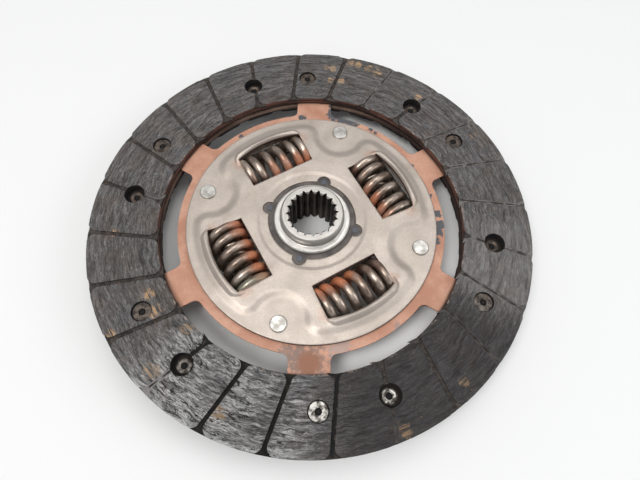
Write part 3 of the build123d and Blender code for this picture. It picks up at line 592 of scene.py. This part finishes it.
def cushionMaterial(name):
    material, tree, shader, place = startMaterial(name)
    face = cushion["face"]
    cloud = noiseStep(tree, place, *cushion["cloudNoise"])
    speck = noiseStep(tree, place, *cushion["speckNoise"])
    worn = blotchMask(tree, place, *cushion["bareBlotches"])
    colour = mixColour(tree, rangeStep(tree, cloud, 0.34, 0.66), cushion["red"], cushion["pale"])
    colour = layOver(tree, colour, cushion["speck"], rangeStep(tree, speck, 0.52, 0.72), 0.30)
    colour = layOver(tree, colour, cushion["bare"], worn, 0.65)
    for angle, radius, reach, strength, tone in cushion["marks"]:
        mark = spotMask(tree, place, angle, radius, face, reach, cushion["markRagged"])
        colour = layOver(tree, colour, tone, mark, strength)
    angle, radius, reach, ragged, strength, tone = cushion["roundStain"]
    colour = layOver(tree, colour, tone, spotMask(tree, place, angle, radius, face, reach, ragged), strength)
    for angle, radius, reach in cushion["flakes"]:
        ragged = cushion["largeRagged"] if reach > cushion["largeFlake"] else cushion["smallRagged"]
        flake = spotMask(tree, place, angle, radius, face, reach, ragged)
        colour = mixColour(tree, rangeStep(tree, flake, 0.40, 0.55), colour, cushion["flaked"])
    # painted shade: the plate turns near black where it passes under the friction ring
    radiusHere = useGroup(tree, ringPlace, Position=place)["Radius"]
    underRingShade = rangeStep(tree, plus(tree, radiusHere, times(tree, cloud, 2.4)), *cushion["ringEdge"])
    tree.links.new(mixColour(tree, underRingShade, colour, cushion["underRingShade"]), shader.inputs["Base Color"])
    shader.inputs["Metallic"].default_value = cushion["metallic"]
    tree.links.new(mixValue(tree, underRingShade, 0.55, 0.9), shader.inputs["Roughness"])
    relief = plus(tree, times(tree, cloud, 0.6), times(tree, speck, 0.4))
    relief = minus(tree, relief, times(tree, worn, 0.5))
    addBump(tree, shader, relief, *cushion["bump"])
    return material


# the coil springs: the coils' ends towards the hub carry rust, and more of it on one half of most springs
spring = {
    "dark": (0.205, 0.150, 0.118), "bare": (0.52, 0.435, 0.365), "film": (0.17, 0.075, 0.040),
    "hubEnds": (0.22, 0.085, 0.045), "rust": (0.46, 0.155, 0.075), "brightRust": (0.62, 0.235, 0.11),
    "green": (0.19, 0.25, 0.18), "greenFrom": (13.0, 15.0), "rustFadeOut": 7.0, "rustFadeAside": 6.0,
    "cloudNoise": (150.0, 5.0, 0.6), "speckNoise": (1100.0, 3.0, 0.6), "filmBlotches": (5.0, 0.36, 0.10),
    "bump": (0.12, 0.2),
    # how far out the rust reaches, how far to the side it goes, and how strong it is
    "windows": (
        {"angle": 30.0, "rustReach": 29.5, "rustAside": 4.0, "rustDepth": 0.95, "greenEnd": False},
        {"angle": 120.0, "rustReach": 30.5, "rustAside": 5.0, "rustDepth": 0.8, "greenEnd": False},
        {"angle": 210.0, "rustReach": 31.5, "rustAside": 20.0, "rustDepth": 0.9, "greenEnd": True},
        {"angle": 300.0, "rustReach": 32.0, "rustAside": 3.0, "rustDepth": 1.0, "greenEnd": False},
    ),
}


def springMaterial(name, window):
    material, tree, shader, place = startMaterial(name)
    cloud = noiseStep(tree, place, *spring["cloudNoise"])
    speck = noiseStep(tree, place, *spring["speckNoise"])
    out = plus(tree, outAlong(tree, place, window["angle"]), times(tree, cloud, 6.0))
    aside = plus(tree, outAlong(tree, place, window["angle"] + 90.0), times(tree, cloud, 5.0))
    nearHub = rangeStep(tree, out, window["rustReach"] + spring["rustFadeOut"], window["rustReach"])
    oneHalf = rangeStep(tree, aside, window["rustAside"] + spring["rustFadeAside"], window["rustAside"])
    rust = times(tree, nearHub, oneHalf)
    rustTone = mixColour(tree, rangeStep(tree, speck, 0.4, 0.6), spring["rust"], spring["brightRust"])
    colour = mixColour(tree, rangeStep(tree, cloud, 0.36, 0.64), spring["dark"], spring["bare"])
    colour = layOver(tree, colour, spring["film"], blotchMask(tree, place, *spring["filmBlotches"]), 0.30)
    colour = layOver(tree, colour, spring["hubEnds"], nearHub, 0.55)
    colour = layOver(tree, colour, rustTone, rust, window["rustDepth"])
    if window["greenEnd"]:
        colour = layOver(tree, colour, spring["green"], rangeStep(tree, aside, *spring["greenFrom"]), 0.4)
    tree.links.new(colour, shader.inputs["Base Color"])
    tree.links.new(rangeStep(tree, rust, 0.0, 1.0, 0.85, 0.15), shader.inputs["Metallic"])
    rough = mixValue(tree, rust, rangeStep(tree, cloud, 0.3, 0.7, 0.38, 0.31), 0.50)
    tree.links.new(rough, shader.inputs["Roughness"])
    addBump(tree, shader, plus(tree, cloud, times(tree, speck, 0.35)), *spring["bump"])
    return material


# the splined hub: bright and turned outside, dark inside its bore
hub = {
    "bright": (0.66, 0.64, 0.61), "turned": (0.48, 0.46, 0.43), "stain": (0.24, 0.19, 0.145),
    "wall": (0.17, 0.145, 0.125), "topFace": (0.36, 0.33, 0.30),
    "boreDark": (0.022, 0.017, 0.014), "borePale": (0.075, 0.050, 0.036),
    "boreRadii": (12.2, 11.6), "wallInnerRadii": (12.8, 13.2), "wallOuterRadii": (15.5, 15.0),
    "topHeights": (21.6, 22.4), "turnedNoise": (2.0, 420.0, 3.0, 0.6), "cloudNoise": (160.0, 4.0, 0.6),
    "speckNoise": (1200.0, 3.0, 0.6), "stainBlotches": (4.0, 0.30, 0.10), "bump": (0.25, 0.2, 0.3),
}


def hubMaterial(name):
    material, tree, shader, place = startMaterial(name)
    where = useGroup(tree, ringPlace, Position=place)
    turned = stretchedNoise(tree, where["Around"], *hub["turnedNoise"])
    cloud = noiseStep(tree, place, *hub["cloudNoise"])
    speck = noiseStep(tree, place, *hub["speckNoise"])
    upright = minus(tree, 1.0, flatMask(tree, 0.45, 0.9))
    inBore = times(tree, rangeStep(tree, where["Radius"], *hub["boreRadii"]), upright)
    # painted shade: the boss's upright wall is darkened
    wall = times(tree, rangeStep(tree, where["Radius"], *hub["wallInnerRadii"]),
        times(tree, rangeStep(tree, where["Radius"], *hub["wallOuterRadii"]), upright))
    colour = mixColour(tree, rangeStep(tree, turned, 0.35, 0.65), hub["turned"], hub["bright"])
    colour = layOver(tree, colour, hub["stain"], blotchMask(tree, place, *hub["stainBlotches"]), 0.35)
    colour = layOver(tree, colour, hub["wall"], wall, 0.65)
    colour = layOver(tree, colour, hub["topFace"], rangeStep(tree, where["Height"], *hub["topHeights"]), 0.45)
    bore = mixColour(tree, rangeStep(tree, cloud, 0.40, 0.66), hub["boreDark"], hub["borePale"])
    tree.links.new(mixColour(tree, inBore, colour, bore), shader.inputs["Base Color"])
    tree.links.new(rangeStep(tree, inBore, 0.0, 1.0, 0.80, 0.25), shader.inputs["Metallic"])
    rough = mixValue(tree, inBore, rangeStep(tree, turned, 0.3, 0.7, 0.44, 0.30), 0.55)
    tree.links.new(rough, shader.inputs["Roughness"])
    relief = plus(tree, times(tree, turned, 0.5), times(tree, speck, 0.4))
    addBump(tree, shader, relief, *hub["bump"])
    return material


# the rivets of the friction rings: brown with age, and lighter on the side nearest the lens as a painted reflection
rivet = {
    "dullDark": (0.030, 0.022, 0.018), "dullPale": (0.13, 0.10, 0.078),
    "litDark": (0.09, 0.075, 0.062), "litPale": (0.62, 0.60, 0.56), "litSide": (280.0, 0.55, 0.93),
    "cloudNoise": (420.0, 5.0, 0.65), "speckNoise": (1500.0, 3.0, 0.65), "bump": (0.8, 0.5, 0.3),
}


def rivetMaterial(name):
    material, tree, shader, place = startMaterial(name)
    cloud = noiseStep(tree, place, *rivet["cloudNoise"])
    speck = noiseStep(tree, place, *rivet["speckNoise"])
    bright = facing(tree, place, *rivet["litSide"])
    dull = mixColour(tree, rangeStep(tree, cloud, 0.36, 0.66), rivet["dullDark"], rivet["dullPale"])
    litTone = mixColour(tree, rangeStep(tree, cloud, 0.40, 0.60), rivet["litDark"], rivet["litPale"])
    tree.links.new(mixColour(tree, bright, dull, litTone), shader.inputs["Base Color"])
    tree.links.new(rangeStep(tree, bright, 0.0, 1.0, 0.35, 0.75), shader.inputs["Metallic"])
    tree.links.new(rangeStep(tree, cloud, 0.35, 0.65, 0.66, 0.42), shader.inputs["Roughness"])
    addBump(tree, shader, plus(tree, cloud, times(tree, speck, 0.5)), *rivet["bump"])
    return material


# moulded plastic bushes, with the short pips on the front one's lugs rubbed to a bluish grey
bush = {
    "dark": (0.047, 0.038, 0.034), "pale": (0.120, 0.100, 0.088), "pip": (0.082, 0.086, 0.104), "pipSoftness": 0.08,
    "pipLevel": 16.95, "noPips": 30.0,  # a level above the part leaves the rear bush without pips
    "cloudNoise": (170.0, 5.0, 0.6), "speckNoise": (1200.0, 3.0, 0.6), "bump": (0.3, 0.2, 0.3),
}


def bushMaterial(name, pipLevel):
    material, tree, shader, place = startMaterial(name)
    cloud = noiseStep(tree, place, *bush["cloudNoise"])
    speck = noiseStep(tree, place, *bush["speckNoise"])
    height = useGroup(tree, ringPlace, Position=place)["Height"]
    pip = rangeStep(tree, height, pipLevel - bush["pipSoftness"], pipLevel + bush["pipSoftness"])
    colour = mixColour(tree, rangeStep(tree, cloud, 0.34, 0.66), bush["dark"], bush["pale"])
    tree.links.new(mixColour(tree, pip, colour, bush["pip"]), shader.inputs["Base Color"])
    tree.links.new(rangeStep(tree, cloud, 0.3, 0.7, 0.62, 0.46), shader.inputs["Roughness"])
    addBump(tree, shader, plus(tree, cloud, times(tree, speck, 0.5)), *bush["bump"])
    return material


# the smaller pieces: material, dark tone, pale tone, metallic, roughness and the size of its clouds
plainPieces = {
    "front_friction_washer": ("frictionWasher", (0.05, 0.04, 0.03), (0.12, 0.10, 0.08), 0.0, 0.8, 5.0),
    "rear_friction_washer": ("frictionWasherRear", (0.05, 0.04, 0.03), (0.12, 0.10, 0.08), 0.0, 0.8, 5.0),
    "thrust_plate": ("thrustPlate", (0.22, 0.20, 0.18), (0.42, 0.40, 0.37), 0.85, 0.42, 9.0),
    "cone_spring": ("coneSpring", (0.10, 0.09, 0.08), (0.24, 0.22, 0.20), 0.85, 0.42, 9.0),
    "stop_pins": ("stopPins", (0.36, 0.34, 0.31), (0.66, 0.64, 0.60), 0.85, 0.38, 3.0),
}
plainSurface = {"detail": 5.0, "roughness": 0.6, "speckNoise": (1200.0, 3.0, 0.6), "gloss": 0.08,
                "bump": (0.3, 0.2, 0.3)}


def plainMaterial(name, dark, pale, metallic, roughness, size):
    material, tree, shader, place = startMaterial(name)
    cloud = noiseStep(tree, place, 1.0 / (size * millimetre), plainSurface["detail"], plainSurface["roughness"])
    speck = noiseStep(tree, place, *plainSurface["speckNoise"])
    tree.links.new(mixColour(tree, rangeStep(tree, cloud, 0.34, 0.66), dark, pale), shader.inputs["Base Color"])
    shader.inputs["Metallic"].default_value = metallic
    rough = rangeStep(tree, cloud, 0.3, 0.7, roughness + plainSurface["gloss"], roughness - plainSurface["gloss"])
    tree.links.new(rough, shader.inputs["Roughness"])
    addBump(tree, shader, plus(tree, cloud, times(tree, speck, 0.5)), *plainSurface["bump"])
    return material


finishes = {
    "front_lining": liningMaterial("liningFront", lining["frontFace"], True),
    "rear_lining": liningMaterial("liningRear", lining["rearFace"], False),
    "cushion_plate": cushionMaterial("cushionPlate"),
    "front_side_plate": sidePlateMaterial("sidePlate", True),
    "rear_side_plate": sidePlateMaterial("sidePlateRear", False),
    "hub": hubMaterial("hubSteel"),
    "front_bush": bushMaterial("bush", bush["pipLevel"]),
    "rear_bush": bushMaterial("bushRear", bush["noPips"]),
    "front_lining_rivets": rivetMaterial("liningRivets"),
    "rear_lining_rivets": rivetMaterial("liningRivetsRear"),
}
for nodeName, settings in plainPieces.items():
    finishes[nodeName] = plainMaterial(*settings)
for number, window in enumerate(spring["windows"], 1):
    finishes[f"damper_spring_{number}"] = springMaterial(f"damperSpring{number}", window)
for number, window in enumerate(spring["windows"][::2], 1):  # the inner springs sit in every second window
    finishes[f"inner_spring_{number}"] = springMaterial(f"innerSpring{number}", window)
for nodeName, finish in finishes.items():
    cadNodes[nodeName].material_slots[0].material = finish
print("clutch disc: finishes assigned")


# each spring is its solid's own shape, as a piece of its own that stands in for the hidden solid
springPress = {
    "joint": "damper_twist", "length": 29.6, "travel": 5.6,
    "slots": {
        "damper_spring_1": "spring_steel_1", "damper_spring_2": "spring_steel_2", "damper_spring_3": "spring_steel_3",
        "damper_spring_4": "spring_steel_4", "inner_spring_1": "inner_steel_1", "inner_spring_2": "inner_steel_2",
    },
}

for nodeName, slotName in springPress["slots"].items():
    shape = bmesh.new()
    shape.from_mesh(cadNodes[nodeName].data)
    pressedPiece = addPiece(nodeName + "_pressed", shape, finishes[nodeName])
    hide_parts(nodeName)
    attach(pressedPiece, "disc")
    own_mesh(pressedPiece)


# floor, sky and lamps, in metres: name, place, size, power and colour of each lamp
studio = {
    "floor": (0.80, 0.80, 0.79), "floorRoughness": 0.85, "floorSize": 3.0,
    "sky": (0.92, 0.95, 1.0), "skyStrength": 0.43, "aim": (0.0, 0.0, 0.01),
    "lamps": [
        ("overheadPanel", (0.10, 0.25, 1.30), 1.1, 6.4, (1.0, 0.99, 0.97)),
        ("keyLight", (-0.42, -0.34, 1.05), 0.42, 6.3, (1.0, 0.99, 0.97)),
        ("sideLight", (0.75, -0.10, 0.55), 0.5, 1.6, (0.95, 0.97, 1.0)),
    ],
}

floorFinish, _, floorShader, _ = startMaterial("floorFinish")
floorShader.inputs["Base Color"].default_value = asColour(studio["floor"])
floorShader.inputs["Roughness"].default_value = studio["floorRoughness"]
shape = bmesh.new()
bmesh.ops.create_grid(shape, x_segments=1, y_segments=1, size=studio["floorSize"])
floorPiece = addPiece("floor", shape, floorFinish)

for name, place, size, power, colour in studio["lamps"]:
    light = bpy.data.lights.new(name, "AREA")
    light.shape = "DISK"
    light.size = size
    light.energy = power
    light.color = colour
    lamp = bpy.data.objects.new(name, light)
    lamp.location = place
    lamp.rotation_euler = (Vector(studio["aim"]) - Vector(place)).to_track_quat("-Z", "Y").to_euler()
    bpy.context.scene.collection.objects.link(lamp)
world = bpy.data.worlds.new("studioSky")
world.use_nodes = True
world.node_tree.nodes["Background"].inputs["Color"].default_value = asColour(studio["sky"])
world.node_tree.nodes["Background"].inputs["Strength"].default_value = studio["skyStrength"]
bpy.context.scene.world = world
print("clutch disc: floor and lights set")

# the lens looks down at the disc a little off its centre and slightly rolled; focal, width, middle and aimPixel are
# in pixels, distance and target in metres, and roll in radians
view = {"focal": 464.61, "width": 640.0, "middle": (320.0, 240.0), "aimPixel": (312.107, 218.064),
        "elevation": 62.989, "roll": 0.0210, "distance": 0.20164, "target": (0.0, 0.0, 0.0178),
        "sensor": 36.0, "nearest": 0.01}
tilt = math.radians(view["elevation"])
offset = Vector((0.0, -math.cos(tilt), math.sin(tilt))) * view["distance"]
forward = -offset.normalized()
rightWay = Vector((1.0, 0.0, 0.0))
upWay = rightWay.cross(forward)
basis = Matrix((rightWay, -upWay, forward))
rollCos, rollSin = math.cos(view["roll"]), math.sin(view["roll"])
spin = Matrix(((rollCos, -rollSin, 0), (rollSin, rollCos, 0), (0, 0, 1)))
aim = Vector(((view["aimPixel"][0] - view["middle"][0]) / view["focal"],
              (view["aimPixel"][1] - view["middle"][1]) / view["focal"], 1.0))
shiftTurn = Vector((0.0, 0.0, 1.0)).rotation_difference(aim).to_matrix()
seen = shiftTurn @ spin @ basis
turn = seen.transposed() @ Matrix(((1, 0, 0), (0, -1, 0), (0, 0, -1)))
lens = bpy.data.cameras.new("camera")
lens.sensor_width = view["sensor"]
lens.lens = view["focal"] / view["width"] * view["sensor"]
lens.clip_start = view["nearest"]
camera = bpy.data.objects.new("camera", lens)
camera.matrix_world = Matrix.Translation(Vector(view["target"]) + offset) @ turn.to_4x4()
bpy.context.scene.collection.objects.link(camera)
bpy.context.scene.camera = camera
bpy.context.scene.view_settings.view_transform = "Standard"
print("clutch disc: camera set")
